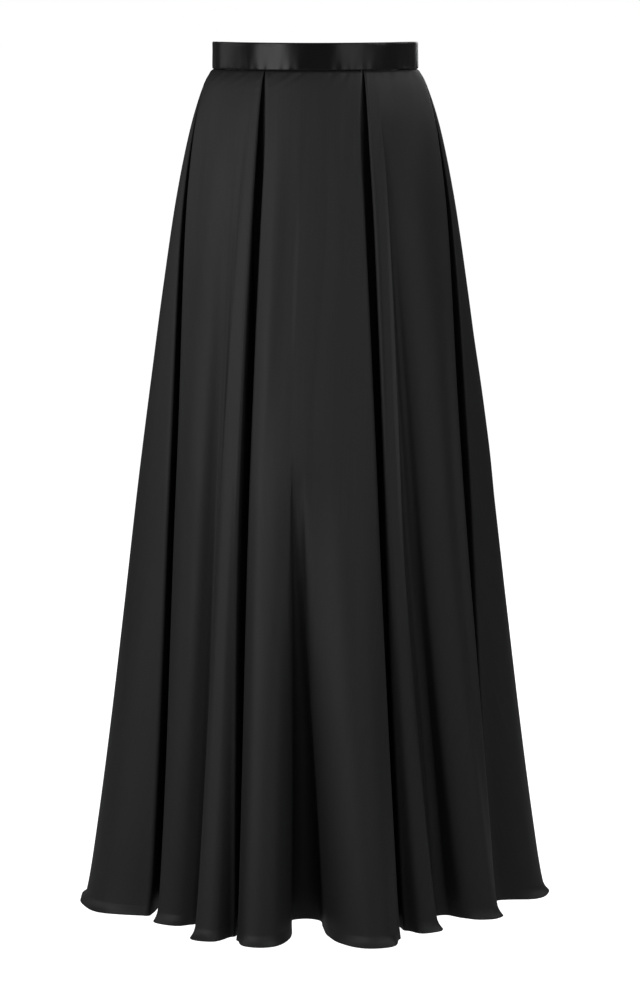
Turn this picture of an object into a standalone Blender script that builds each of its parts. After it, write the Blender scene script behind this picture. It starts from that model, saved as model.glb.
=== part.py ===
# Satin maxi skirt: three pleated panels on a narrow waistband, closed at centre back by a concealed zip.
# Metres, +Z up, the front faces -Y, and the origin is the centre of the waistband at its mid-height.
# Left and right in the names are the wearer's: left is +X.

import math

import bmesh
import bpy
import numpy as np

# Waistband
BAND_HALF_WIDTH = 0.1225
BAND_HALF_DEPTH = 0.0955
BAND_HEIGHT = 0.0320
BAND_THICKNESS = 0.0030
BAND_EDGE_RADIUS = 0.0012
BAND_STEPS = 48
BAND_SEAM_HALF = 0.00025
FRONT_DIP = 0.0012
BACK_DIP = 0.0025
DIP_FADE = 0.1200

# Skirt
CLOTH_THICKNESS = 0.0010
PLY_STEP = 0.0022
SLIT_HALF = 0.0009
LOWER_ROLL = 0.0065
UNDERLAY = 0.0130
SEAM_GAP = 0.0003
WAIST_SEAM_GAP = 0.0007
MID_STATION = 0.60

# How the folds grow down the skirt, as powers of the share of its drop
CREST_POWER = 1.5
PLEAT_EDGE_POWER = 1.5
PLEAT_FLOOR_POWER = 0.9
VALLEY_EDGE_POWER = 1.3
VALLEY_FLOOR_POWER = 1.15
LOBE_ROUNDNESS = 2.6
CURL_SHARE = 0.08
VALLEY_FLOOR_SHARES = (0.36, 0.64)
VALLEY_FLOOR_ENDS = 0.93
ZIP_SEAM_CLOSES_IN = 0.0300

# Zip
ZIP_LENGTH = 0.2050
ZIP_SLIT_HALF = 0.0009
ZIP_TAPE_WIDTH = 0.0125
ZIP_TAPE_THICKNESS = 0.0010
ZIP_TAPE_STEPS = 4
SLIDER_WIDTH = 0.0080
SLIDER_HEIGHT = 0.0090
SLIDER_DEPTH = 0.0032
SLIDER_Z = 0.0060
NECK_WIDTH = 0.0010
CROWN_OUT = 0.0040
CROWN_CLEAR = 0.0006
CROWN_HALF_HEIGHT = 0.0030
CROWN_BAR = 0.0009
HINGE_GAP = 0.0004
PULL_WIDTH = 0.0056
PULL_LENGTH = 0.0190
PULL_THICKNESS = 0.0010
PULL_BAR = 0.0014
PULL_EYE_WIDTH = 0.0022
PULL_EYE_LENGTH = 0.0052
WELD = 0.00001

SECTIONS = (
    # drop, half_width, front_depth, back_depth: the outline that the folds' crests touch
    (0.0000, 0.1217, 0.0940, 0.0940),
    (0.0120, 0.1292, 0.0975, 0.0990),
    (0.0300, 0.1366, 0.1010, 0.1055),
    (0.0600, 0.1463, 0.1060, 0.1160),
    (0.1000, 0.1560, 0.1115, 0.1275),
    (0.1600, 0.1676, 0.1185, 0.1400),
    (0.2500, 0.1813, 0.1290, 0.1520),
    (0.3600, 0.1964, 0.1420, 0.1650),
    (0.5000, 0.2148, 0.1605, 0.1800),
    (0.6500, 0.2328, 0.1795, 0.1970),
    (0.8000, 0.2513, 0.1985, 0.2140),
    (0.9200, 0.2678, 0.2140, 0.2280),
    (0.9850, 0.2780, 0.2210, 0.2345),
    (1.0146, 0.2843, 0.2242, 0.2400),
)

LOBES = (
    # name, degrees at waist, middle and hem of its first edge, then of its second, and
    # hem insets in mm of the first edge, the crest and the second edge
    ("centre_left", 4.0, 4.0, 3.9, 27.5, 20.8, 22.0, 50, -4, 20),
    ("left_inner", 27.5, 25.2, 26.0, 33.5, 31.5, 41.5, 50, 35, 60),
    ("left_outer", 37.0, 41.0, 52.5, 90.0, 73.0, 66.0, 50, 33, 40),
    ("side_left", 90.0, 80.0, 79.0, 116.0, 110.0, 108.0, 50, -3, 40),
    ("back_left", 124.0, 119.0, 117.0, 151.0, 141.0, 138.0, 40, 2, 25),
    ("back_centre_left", 151.0, 146.0, 141.5, 176.0, 174.0, 171.0, 28, -2, 45),
    ("back_centre_right", 184.0, 186.0, 189.0, 209.0, 214.0, 218.0, 42, -4, 30),
    ("back_right", 209.0, 219.0, 221.5, 236.0, 242.0, 244.0, 24, 0, 45),
    ("side_right", 244.0, 250.0, 253.0, 270.0, 284.0, 298.0, 40, -1, 45),
    ("right_outer", 270.0, 291.0, 306.4, 323.0, 321.0, 319.0, 52, 41, 58),
    ("right_inner", 327.0, 327.5, 326.6, 331.0, 332.4, 336.0, 25, 6, 30),
    ("centre_right", 331.0, 336.3, 339.4, 356.0, 356.0, 353.5, 16, -1, 45),
)

GAPS = (
    # kind of the gap after each lobe, degrees at the hem of its floor's two ends, its floor's
    # inset there in mm, the share of the drop where it starts, and the panel that starts in it
    ("pleat", 26.0, 31.0, 108, 0.00, ""),
    ("valley", 45.5, 54.0, 90, 0.05, ""),
    ("pleat", 72.0, 88.0, 92, 0.00, "skirt_back_left"),
    ("valley", 109.5, 115.5, 80, 0.12, ""),
    ("pleat", 137.0, 142.0, 105, 0.00, ""),
    ("valley", 174.0, 186.0, 100, 0.38, "skirt_back_right"),
    ("pleat", 217.0, 222.0, 108, 0.00, ""),
    ("valley", 246.0, 251.5, 82, 0.15, ""),
    ("pleat", 272.0, 292.0, 118, 0.00, "skirt_front"),
    ("valley", 321.0, 325.5, 70, 0.05, ""),
    ("pleat", 336.0, 341.0, 113, 0.00, ""),
    ("valley", 350.0, 362.0, 124, 0.40, ""),
)

LOBE_SHARES = (0.0, 0.22, 0.5, 0.78, 1.0)
WALL_SHARE = 0.80
LOBE_CUTS = 2
SEAM_CUTS = 3

BAND_BOTTOM = -BAND_HEIGHT / 2
SKIRT_DROP = SECTIONS[-1][0]


def column(table, index):
    return [row[index] for row in table]


def smooth_through(places, values, place):
    """Monotone cubic through a table's values."""
    steps = np.diff(places)
    slopes = np.diff(values) / steps
    tangents = np.concatenate([slopes[:1], np.zeros(len(places) - 2), slopes[-1:]])
    for i in range(1, len(places) - 1):
        if slopes[i - 1] * slopes[i] > 0:
            before = 2 * steps[i] + steps[i - 1]
            after = steps[i] + 2 * steps[i - 1]
            tangents[i] = (before + after) / (before / slopes[i - 1] + after / slopes[i])
    place = min(max(place, places[0]), places[-1])
    i = min(int(np.searchsorted(places, place, side="right")) - 1, len(steps) - 1)
    u = (place - places[i]) / steps[i]
    return (
        (1 + 2 * u) * (1 - u) ** 2 * values[i]
        + u * (1 - u) ** 2 * steps[i] * tangents[i]
        + u * u * (3 - 2 * u) * values[i + 1]
        + u * u * (u - 1) * steps[i] * tangents[i + 1]
    )


def outline_at(drop):
    """Half-width, front depth and back depth of the outline this far down."""
    drops = column(SECTIONS, 0)
    return tuple(smooth_through(drops, column(SECTIONS, i), drop) for i in (1, 2, 3))


def turn_share(drop):
    """0 at the waist and 1 at the hem: how far the folds have turned to their hem angles."""
    waist, hem = SECTIONS[0][1], SECTIONS[-1][1]
    return 1 - (hem / outline_at(drop)[0] - 1) / (hem / waist - 1)


def outline_point(sizes, degrees, inset, along=0.0):
    """Plan point at an angle and inset of the outline, then moved along it by a distance."""
    half_width, front, back = sizes
    angle = math.radians(degrees)
    depth = front if math.cos(angle) > 0 else back
    angle += along / math.hypot(
        (half_width - inset) * math.cos(angle), (depth - inset) * math.sin(angle)
    )
    depth = front if math.cos(angle) > 0 else back
    return np.array(
        ((half_width - inset) * math.sin(angle), (inset - depth) * math.cos(angle))
    )


def gap_growth(gap, share, power):
    starts_at = gap[4]
    return (max(0.0, share - starts_at) / (1 - starts_at)) ** power


def edge_inset(gap, share, hem_inset):
    power = PLEAT_EDGE_POWER if gap[0] == "pleat" else VALLEY_EDGE_POWER
    return hem_inset / 1000 * gap_growth(gap, share, power)


def lobe_at(index, drop):
    """Angles of a lobe's two edges, and insets of its first edge, crest and second edge."""
    row = LOBES[index % len(LOBES)]
    share = drop / SKIRT_DROP
    turn = turn_share(drop)
    stations = (0.0, MID_STATION, 1.0)
    wrap = 360.0 * (index // len(LOBES))
    return (
        wrap + smooth_through(stations, row[1:4], turn),
        wrap + smooth_through(stations, row[4:7], turn),
        edge_inset(GAPS[(index - 1) % len(GAPS)], share, row[7]),
        row[8] / 1000 * share**CREST_POWER,
        edge_inset(GAPS[index % len(GAPS)], share, row[9]),
    )


def lobe_knots(index, drop):
    first, second, first_in, crest_in, second_in = lobe_at(index, drop)
    sizes = outline_at(drop)
    roll = roll_at(drop)
    pulls = [
        roll + SLIT_HALF if GAPS[i % len(GAPS)][0] == "pleat" else 0.0
        for i in (index - 1, index)
    ]
    knots = []
    for share in LOBE_SHARES:
        edge_in = first_in if share < 0.5 else second_in
        inset = crest_in + (edge_in - crest_in) * abs(2 * share - 1) ** LOBE_ROUNDNESS
        along = pulls[0] * (1 - share) - pulls[1] * share
        knots.append(outline_point(sizes, first + (second - first) * share, inset, along))
    return knots


def roll_at(drop):
    """Radius of a pleat's folded edges this far down."""
    return PLY_STEP / 2 + (LOWER_ROLL - PLY_STEP / 2) * drop / SKIRT_DROP


def pleat_knots(index, drop):
    """Inverted pleat after a lobe: wall, floor with a seam at its middle, and wall."""
    _, hem_from, hem_to, floor_mm, _, _ = GAPS[index]
    sizes = outline_at(drop)
    share = drop / SKIRT_DROP
    turn = turn_share(drop)
    roll = roll_at(drop)
    curl = roll * max(0.0, 1 - share / CURL_SHARE)
    _, second, _, _, second_in = lobe_at(index, drop)
    first, _, first_in, _, _ = lobe_at(index + 1, drop)
    waist = LOBES[index][4]
    half_width, front, back = outline_at(0.0)
    depth = front if math.cos(math.radians(waist)) > 0 else back
    pace = math.hypot(
        half_width * math.cos(math.radians(waist)), depth * math.sin(math.radians(waist))
    )
    under = math.degrees(UNDERLAY / pace)
    floor_from = waist - under + (hem_from - waist + under) * turn
    floor_to = waist + under + (hem_to - waist - under) * turn
    floor = 2 * PLY_STEP + (floor_mm / 1000 - 2 * PLY_STEP) * share**PLEAT_FLOOR_POWER
    lip = floor - 2 * roll
    top, next_top = second_in + 2 * roll, first_in + 2 * roll
    wall = second + (floor_from - second) * WALL_SHARE
    next_wall = first + (floor_to - first) * WALL_SHARE
    return [
        outline_point(sizes, second, second_in + roll, -SLIT_HALF),
        outline_point(sizes, second, top, -curl - SLIT_HALF),
        outline_point(sizes, wall, top + (lip - top) * WALL_SHARE),
        outline_point(sizes, floor_from, floor - roll, -roll / 2),
        outline_point(sizes, floor_from, floor, roll),
        outline_point(sizes, (floor_from + floor_to) / 2, floor),
        outline_point(sizes, floor_to, floor, -roll),
        outline_point(sizes, floor_to, floor - roll, roll / 2),
        outline_point(sizes, next_wall, next_top + (lip - next_top) * WALL_SHARE),
        outline_point(sizes, first, next_top, curl + SLIT_HALF),
        outline_point(sizes, first, first_in + roll, SLIT_HALF),
    ]


def valley_knots(index, drop):
    """Soft valley after a lobe, which isn't there above its start."""
    gap = GAPS[index]
    sizes = outline_at(drop)
    growth = gap_growth(gap, drop / SKIRT_DROP, 1.0)
    floor = gap[3] / 1000 * growth**VALLEY_FLOOR_POWER
    _, second, _, _, second_in = lobe_at(index, drop)
    first, _, first_in, _, _ = lobe_at(index + 1, drop)
    floor_from, floor_to = (second + (first - second) * u for u in VALLEY_FLOOR_SHARES)
    floor_from += (gap[1] - floor_from) * growth
    floor_to += (gap[2] - floor_to) * growth
    return [
        outline_point(sizes, (second + floor_from) / 2, (second_in + floor) / 2),
        outline_point(sizes, floor_from, floor * VALLEY_FLOOR_ENDS),
        outline_point(sizes, (floor_from + floor_to) / 2, floor),
        outline_point(sizes, floor_to, floor * VALLEY_FLOOR_ENDS),
        outline_point(sizes, (first + floor_to) / 2, (first_in + floor) / 2),
    ]


def ring_layout():
    """Steps after each knot round the skirt, and the knot where each panel starts."""
    steps = []
    starts = {}
    for index, gap in enumerate(GAPS):
        steps += [LOBE_CUTS] * (len(LOBE_SHARES) - 1) + [1]
        middle = 5 if gap[0] == "pleat" else 2
        span = [1] * (2 * middle + 1)
        if gap[5]:
            starts[gap[5]] = len(steps) + middle
            span[middle - 1] = span[middle] = SEAM_CUTS
        steps += span
    return steps, starts


def ring_at(drop, steps):
    """Closed smooth curve through the knots this far down, and the index of each knot in it."""
    knots = []
    for index, gap in enumerate(GAPS):
        knots += lobe_knots(index, drop)
        knots += (pleat_knots if gap[0] == "pleat" else valley_knots)(index, drop)
    points = []
    places = []
    count = len(knots)
    for i in range(count):
        p0, p1, p2, p3 = (knots[(i + j) % count] for j in (-1, 0, 1, 2))
        d1, d2, d3 = (
            max(math.sqrt(math.dist(a, b)), 1e-4) for a, b in ((p0, p1), (p1, p2), (p2, p3))
        )
        m1 = ((p1 - p0) / d1 - (p2 - p0) / (d1 + d2) + (p2 - p1) / d2) * d2
        m2 = ((p2 - p1) / d2 - (p3 - p1) / (d2 + d3) + (p3 - p2) / d3) * d2
        places.append(len(points))
        for j in range(steps[i]):
            u = j / steps[i]
            points.append(
                (1 + 2 * u) * (1 - u) ** 2 * p1
                + u * (1 - u) ** 2 * m1
                + u * u * (3 - 2 * u) * p2
                + u * u * (u - 1) * m2
            )
    return points, places


def dip_at(x, y, half_width, depth):
    """How far the waist line dips at centre front and back, below its height at the sides."""
    angle = math.atan2(x / half_width, -y / depth)
    return (FRONT_DIP if math.cos(angle) > 0 else BACK_DIP) * math.cos(angle) ** 2


def seam_half_gap(panel, drop):
    """Half of the gap at the seam where a panel starts: wider beside the zip."""
    if panel != "skirt_back_right":
        return SEAM_GAP / 2
    below = (drop - ZIP_LENGTH + BAND_HEIGHT) / ZIP_SEAM_CLOSES_IN
    return ZIP_SLIT_HALF + (SEAM_GAP / 2 - ZIP_SLIT_HALF) * min(max(below, 0.0), 1.0)


def trimmed(line, gap, reach=4):
    """The line shortened by a gap at its start, its first few points spaced anew."""
    along = np.cumsum([0.0] + [math.dist(line[i], line[i + 1]) for i in range(reach)])
    places = gap + along * (1 - gap / along[-1])
    near = np.array(line[: reach + 1])
    moved = [np.array([np.interp(s, along, near[:, axis]) for axis in (0, 1)]) for s in places]
    return moved + line[reach + 1 :]


def object_from(name, data, material):
    made = bpy.data.objects.new(name, data)
    collection.objects.link(made)
    if material:
        made.data.materials.append(material)
    return made


def sheet_object(name, grid, thickness, material):
    """Solid of this thickness about a grid of points, its rows going down."""
    rows, columns = len(grid), len(grid[0])
    mesh = bpy.data.meshes.new(name)
    faces = [
        (
            r * columns + c,
            (r + 1) * columns + c,
            (r + 1) * columns + c + 1,
            r * columns + c + 1,
        )
        for r in range(rows - 1)
        for c in range(columns - 1)
    ]
    mesh.from_pydata([tuple(point) for row in grid for point in row], [], faces)
    mesh.polygons.foreach_set("use_smooth", [True] * len(mesh.polygons))
    made = object_from(name, mesh, material)
    wall = made.modifiers.new("wall", "SOLIDIFY")
    wall.thickness = thickness
    wall.offset = 0.0
    wall.use_even_offset = True
    return made


def skirt_panels(material):
    steps, starts = ring_layout()
    names = list(starts)
    grids = {}
    rings = [ring_at(drop, steps) for drop in column(SECTIONS, 0)]
    for number, name in enumerate(names):
        following = names[(number + 1) % len(names)]
        grid = []
        for drop, (ring, places) in zip(column(SECTIONS, 0), rings):
            half_width, front, back = outline_at(drop)
            begin, end = places[starts[name]], places[starts[following]]
            if end < begin:
                end += len(ring)
            line = [ring[i % len(ring)] for i in range(begin, end + 1)]
            line = trimmed(line, seam_half_gap(name, drop))
            line = trimmed(line[::-1], seam_half_gap(following, drop))[::-1]
            fade = max(0.0, 1 - drop / DIP_FADE)
            z = BAND_BOTTOM - max(drop, WAIST_SEAM_GAP)
            grid.append(
                [
                    (x, y, z - fade * dip_at(x, y, half_width, front if y < 0 else back))
                    for x, y in line
                ]
            )
        sheet_object(name, grid, CLOTH_THICKNESS, material)
        grids[name] = grid
    return grids


def rounded_rectangle(half_x, half_y, radius, corner_steps):
    points = []
    for corner, (sx, sy) in enumerate(((1, 1), (-1, 1), (-1, -1), (1, -1))):
        for step in range(corner_steps + 1):
            angle = math.radians(90 * (corner + step / corner_steps))
            points.append(
                (
                    sx * (half_x - radius) + radius * math.cos(angle),
                    sy * (half_y - radius) + radius * math.sin(angle),
                    0.0,
                )
            )
    return points


def add_spline(curve, points, cyclic):
    spline = curve.splines.new("POLY")
    spline.points.add(len(points) - 1)
    for point, place in zip(spline.points, points):
        point.co = (*place, 1.0)
    spline.use_cyclic_u = cyclic
    return spline


def band_point(degrees, inset, z):
    angle = math.radians(degrees)
    dip = (FRONT_DIP if math.cos(angle) > 0 else BACK_DIP) * math.cos(angle) ** 2
    return (
        (BAND_HALF_WIDTH - inset) * math.sin(angle),
        (inset - BAND_HALF_DEPTH) * math.cos(angle),
        z - dip,
    )


def waistband_pieces(material):
    profile = bpy.data.curves.new("waistband_profile", "CURVE")
    profile.dimensions = "2D"
    add_spline(
        profile,
        rounded_rectangle(BAND_THICKNESS / 2, BAND_HEIGHT / 2, BAND_EDGE_RADIUS, 3)[::-1],
        True,
    )
    guide = bpy.data.objects.new("waistband_profile", profile)
    tools.objects.link(guide)
    guide.hide_render = True
    guide.display_type = "WIRE"
    side = math.degrees(BAND_SEAM_HALF / BAND_HALF_DEPTH)
    back = math.degrees(ZIP_SLIT_HALF / BAND_HALF_WIDTH)
    spans = (
        ("waistband_front", -90 + side, 90 - side, BAND_STEPS // 2),
        ("waistband_back_left", 90 + side, 180 - back, BAND_STEPS // 4),
        ("waistband_back_right", 180 + back, 270 - side, BAND_STEPS // 4),
    )
    for name, first, last, steps in spans:
        path = bpy.data.curves.new(name, "CURVE")
        path.dimensions = "3D"
        path.twist_mode = "Z_UP"
        path.bevel_mode = "OBJECT"
        path.bevel_object = guide
        path.use_fill_caps = True
        add_spline(
            path,
            [
                band_point(first + (last - first) * i / steps, BAND_THICKNESS / 2, 0.0)
                for i in range(steps + 1)
            ],
            False,
        )
        object_from(name, path, material)


def tape_row(line, depth):
    """Points across the tape, on a panel's row of points from its seam and moved in by a depth."""
    along = np.cumsum([0.0] + [math.dist(a, b) for a, b in zip(line, line[1:])])
    points = []
    for i in range(ZIP_TAPE_STEPS + 1):
        place = ZIP_TAPE_WIDTH * i / ZIP_TAPE_STEPS
        x, y, z = (np.interp(place, along, column(line, axis)) for axis in range(3))
        points.append((x, y - depth, z))
    return points


def zip_tapes(grids, material):
    """Tape behind each edge of the centre back opening, from the waistband's top to the zip's end."""
    drops = column(SECTIONS, 0)
    end = ZIP_LENGTH - BAND_HEIGHT
    inside = (CLOTH_THICKNESS + ZIP_TAPE_THICKNESS) / 2 + SEAM_GAP
    band_depth = BAND_HALF_DEPTH - BAND_THICKNESS - SEAM_GAP - ZIP_TAPE_THICKNESS / 2
    tapes = (("zip_tape_left", "skirt_back_left", -1), ("zip_tape_right", "skirt_back_right", 1))
    for name, panel, side in tapes:
        rows = [row[::side] for row in grids[panel]]
        flat = [(x, y + band_depth - rows[0][0][1], BAND_BOTTOM - BACK_DIP) for x, y, _ in rows[0]]
        top = [(x, y, BAND_HEIGHT / 2 - BACK_DIP - 0.0010) for x, y, _ in flat]
        last = max(i for i, drop in enumerate(drops) if drop < end)
        share = (end - drops[last]) / (drops[last + 1] - drops[last])
        bottom = [
            tuple(a + (b - a) * share for a, b in zip(upper, lower))
            for upper, lower in zip(rows[last], rows[last + 1])
        ]
        grid = [tape_row(top, 0.0), tape_row(flat, 0.0)]
        grid += [tape_row(row, inside) for row in rows[1 : last + 1] + [bottom]]
        if side < 0:
            grid = [row[::-1] for row in grid]
        sheet_object(name, grid, ZIP_TAPE_THICKNESS, material)


def plate_mesh(name, splines, thickness, bevel, rotation, location):
    """Closed mesh of a flat plate with this outline and holes, turned and placed as given."""
    curve = bpy.data.curves.new(name, "CURVE")
    curve.dimensions = "2D"
    curve.fill_mode = "BOTH"
    curve.extrude = thickness / 2 - bevel
    curve.bevel_depth = bevel
    curve.bevel_resolution = 0
    curve.offset = -bevel
    for points in splines:
        add_spline(curve, points, True)
    plate = object_from(name, curve, None)
    plate.rotation_euler = rotation
    bpy.context.view_layer.update()
    graph = bpy.context.evaluated_depsgraph_get()
    mesh = bpy.data.meshes.new_from_object(plate.evaluated_get(graph))
    mesh.transform(plate.matrix_world)
    mesh.name = name
    bpy.data.objects.remove(plate, do_unlink=True)
    shape = bmesh.new()
    shape.from_mesh(mesh)
    bmesh.ops.translate(shape, verts=shape.verts, vec=location)
    bmesh.ops.remove_doubles(shape, verts=shape.verts, dist=WELD)
    bmesh.ops.recalc_face_normals(shape, faces=shape.faces)
    shape.to_mesh(mesh)
    shape.free()
    mesh.shade_smooth()
    mesh.set_sharp_from_angle(angle=math.radians(35))
    return mesh


def zip_slider(material):
    """Slider body inside the tapes, with a crown that comes out through the slit as a flat loop."""
    tape_inner = BAND_HALF_DEPTH - BAND_THICKNESS - 2 * SEAM_GAP - ZIP_TAPE_THICKNESS
    body_middle = tape_inner - SLIDER_DEPTH / 2
    crown_tip = BAND_HALF_DEPTH + CROWN_OUT
    inner, outer = CROWN_HALF_HEIGHT - CROWN_BAR, CROWN_HALF_HEIGHT
    corner = CROWN_BAR * 0.8
    # The crown's own X is the object's Y, and its own Y is the object's Z.
    crown_outline = [
        (body_middle, -outer, 0.0),
        (crown_tip - corner, -outer, 0.0),
        (crown_tip, -outer + corner, 0.0),
        (crown_tip, outer - corner, 0.0),
        (crown_tip - corner, outer, 0.0),
        (body_middle, outer, 0.0),
    ]
    window = [
        (BAND_HALF_DEPTH + CROWN_CLEAR, -inner, 0.0),
        (BAND_HALF_DEPTH + CROWN_CLEAR, inner, 0.0),
        (crown_tip - CROWN_BAR, inner, 0.0),
        (crown_tip - CROWN_BAR, -inner, 0.0),
    ]
    quarter = math.pi / 2
    body = plate_mesh(
        "zip_slider",
        [rounded_rectangle(SLIDER_WIDTH / 2, SLIDER_HEIGHT / 2, 0.0022, 3)],
        SLIDER_DEPTH,
        0.0005,
        (quarter, 0.0, 0.0),
        (0.0, body_middle, SLIDER_Z),
    )
    crown = plate_mesh(
        "zip_crown", [crown_outline, window], NECK_WIDTH, 0.0, (quarter, 0.0, quarter), (0.0, 0.0, SLIDER_Z)
    )
    tool = bpy.data.objects.new("zip_crown", crown)
    tools.objects.link(tool)
    tool.hide_render = True
    tool.display_type = "WIRE"
    slider = object_from("zip_slider", body, material)
    join = slider.modifiers.new("crown", "BOOLEAN")
    join.operation = "UNION"
    join.object = tool


def arc(radius, centre_y, first, last, steps):
    """Points of an arc about (0, centre_y), its angles in half turns."""
    angles = [math.pi * (first + (last - first) * i / steps) for i in range(steps + 1)]
    return [(radius * math.cos(a), centre_y + radius * math.sin(a), 0.0) for a in angles]


def zip_pull(material):
    """Teardrop tab, hung by the bar over its eye on the slider's crown. Its origin is on the bar's axis."""
    top_radius = PULL_WIDTH * 0.36
    end_radius = PULL_WIDTH / 2
    top_y = PULL_BAR / 2 - top_radius * 0.45
    end_y = PULL_BAR / 2 + end_radius - PULL_LENGTH
    top = [(x, min(y, PULL_BAR / 2), z) for x, y, z in arc(top_radius, top_y, 0.0, 1.0, 8)]
    outline = top + arc(end_radius, end_y, 1.0, 2.0, 12)
    eye_middle = -PULL_BAR / 2 - PULL_EYE_LENGTH / 2
    eye = rounded_rectangle(PULL_EYE_WIDTH / 2, PULL_EYE_LENGTH / 2, 0.0005, 2)
    hole = [(x, y + eye_middle, z) for x, y, z in eye]
    pull = plate_mesh(
        "zip_pull", [outline, hole], PULL_THICKNESS, 0.0002, (math.pi / 2, 0.0, 0.0), (0.0, 0.0, 0.0)
    )
    hung = object_from("zip_pull", pull, material)
    window_middle = (CROWN_OUT - CROWN_BAR + CROWN_CLEAR) / 2
    sill = SLIDER_Z - CROWN_HALF_HEIGHT + CROWN_BAR
    hung.location = (0.0, BAND_HALF_DEPTH + window_middle, sill + HINGE_GAP + PULL_BAR / 2)


def make_material(name, colour, roughness, metallic):
    material = bpy.data.materials.new(name)
    material.use_nodes = True
    shader = material.node_tree.nodes["Principled BSDF"]
    shader.inputs["Base Color"].default_value = (*colour, 1.0)
    shader.inputs["Roughness"].default_value = roughness
    shader.inputs["Metallic"].default_value = metallic
    return material


for existing in list(bpy.data.objects):
    bpy.data.objects.remove(existing, do_unlink=True)

collection = bpy.data.collections.new("satin_maxi_skirt")
tools = bpy.data.collections.new("guides")
for group in (collection, tools):
    bpy.context.scene.collection.children.link(group)

panels = skirt_panels(make_material("black_satin", (0.012, 0.012, 0.013), 0.42, 0.0))
waistband_pieces(make_material("black_satin_waistband", (0.014, 0.014, 0.016), 0.34, 0.0))
zip_tapes(panels, make_material("black_zip_tape", (0.010, 0.010, 0.010), 0.85, 0.0))
zip_slider(make_material("black_zip_slider", (0.020, 0.020, 0.021), 0.45, 0.3))
zip_pull(make_material("black_zip_pull", (0.022, 0.022, 0.023), 0.42, 0.3))
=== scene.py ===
# Looks for the satin maxi skirt: thin shells on the forms of its panels and waistband, with their
# creases, hem and seams, the zip's coil, and procedural materials, on a pale floor in soft light.
# Metres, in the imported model's frame: +Z up, the front faces -Y, +X is the wearer's left.

import math

import bpy
import numpy as np
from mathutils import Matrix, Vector


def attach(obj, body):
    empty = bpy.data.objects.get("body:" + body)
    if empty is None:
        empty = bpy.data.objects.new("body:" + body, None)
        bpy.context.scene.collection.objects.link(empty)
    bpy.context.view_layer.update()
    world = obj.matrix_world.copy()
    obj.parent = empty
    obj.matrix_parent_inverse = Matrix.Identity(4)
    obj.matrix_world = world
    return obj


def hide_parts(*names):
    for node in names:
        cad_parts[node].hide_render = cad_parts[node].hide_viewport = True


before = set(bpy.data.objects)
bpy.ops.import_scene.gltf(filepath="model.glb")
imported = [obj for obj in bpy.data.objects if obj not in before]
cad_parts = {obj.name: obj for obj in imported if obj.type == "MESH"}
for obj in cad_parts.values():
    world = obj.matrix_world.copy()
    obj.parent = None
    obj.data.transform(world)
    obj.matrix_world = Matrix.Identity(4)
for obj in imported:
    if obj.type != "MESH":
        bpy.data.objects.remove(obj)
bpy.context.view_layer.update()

# Sizes of the waistband, the skirt and the zip. They are the solids' own, apart from LOWER_ROLL
# and the fold tables below, which follow the photo a little closer than the solids do.
BAND_HALF_WIDTH = 0.1225
BAND_HALF_DEPTH = 0.0955
BAND_HEIGHT = 0.0320
BAND_THICKNESS = 0.0030
FRONT_DIP = 0.0012
BACK_DIP = 0.0025
DIP_FADE = 0.1200
PLY_STEP = 0.0022
SLIT_HALF = 0.0009
LOWER_ROLL = 0.0038
UNDERLAY = 0.0130
STATIONS = (0.0, 0.45, 0.76, 1.0)
CREST_POWER = 1.5
PLEAT_FLOOR_POWER = 0.9
VALLEY_FLOOR_POWER = 1.15
VALLEY_PLACE_POWER = 2.0
CURL_SHARE = 0.08
VALLEY_FLOOR_ENDS = 0.93
ZIP_LENGTH = 0.2050
ZIP_SLIT_HALF = 0.0009

SECTIONS = (
    # drop, half_width, front_depth, back_depth: the outline that the folds' crests touch
    (0.0000, 0.1217, 0.0940, 0.0940),
    (0.0120, 0.1292, 0.0975, 0.0990),
    (0.0300, 0.1366, 0.1010, 0.1055),
    (0.0600, 0.1463, 0.1060, 0.1160),
    (0.1000, 0.1560, 0.1115, 0.1275),
    (0.1600, 0.1676, 0.1185, 0.1400),
    (0.2500, 0.1813, 0.1290, 0.1520),
    (0.3600, 0.1964, 0.1420, 0.1650),
    (0.5000, 0.2148, 0.1605, 0.1800),
    (0.6500, 0.2328, 0.1795, 0.1970),
    (0.8000, 0.2513, 0.1985, 0.2140),
    (0.9200, 0.2678, 0.2140, 0.2280),
    (0.9850, 0.2780, 0.2210, 0.2345),
    (1.0146, 0.2843, 0.2242, 0.2400),
)

EDGES = (
    # lobe, degrees of its first edge at the four stations from waist to hem, then of its second
    ("centre_left", 4.0, 4.0, -3.0, 3.9, 27.5, 20.4, 20.7, 22.9),
    ("left_inner", 27.5, 24.2, 24.0, 27.4, 33.5, 30.9, 29.6, 38.9),
    ("left_outer", 35.5, 35.0, 41.2, 53.5, 90.0, 70.1, 58.9, 66.6),
    ("side_left", 90.0, 84.0, 77.2, 82.0, 116.0, 110.0, 109.0, 108.0),
    ("back_left", 124.0, 120.0, 118.3, 117.0, 151.0, 143.0, 139.8, 138.0),
    ("back_centre_left", 151.0, 147.2, 144.3, 141.5, 176.0, 174.5, 173.2, 171.0),
    ("back_centre_right", 184.0, 185.4, 187.0, 189.0, 209.0, 212.9, 215.4, 218.0),
    ("back_right", 209.0, 216.8, 220.0, 221.5, 236.0, 240.5, 242.9, 244.0),
    ("side_right", 244.0, 248.6, 251.3, 253.0, 270.0, 284.1, 297.3, 300.4),
    ("right_outer", 270.0, 291.0, 302.7, 304.2, 323.0, 321.0, 320.3, 319.0),
    ("right_inner", 327.0, 328.7, 327.9, 326.8, 331.0, 334.1, 335.0, 337.8),
    ("centre_right", 331.0, 337.6, 338.1, 339.5, 356.0, 354.5, 352.2, 353.0),
)

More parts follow.
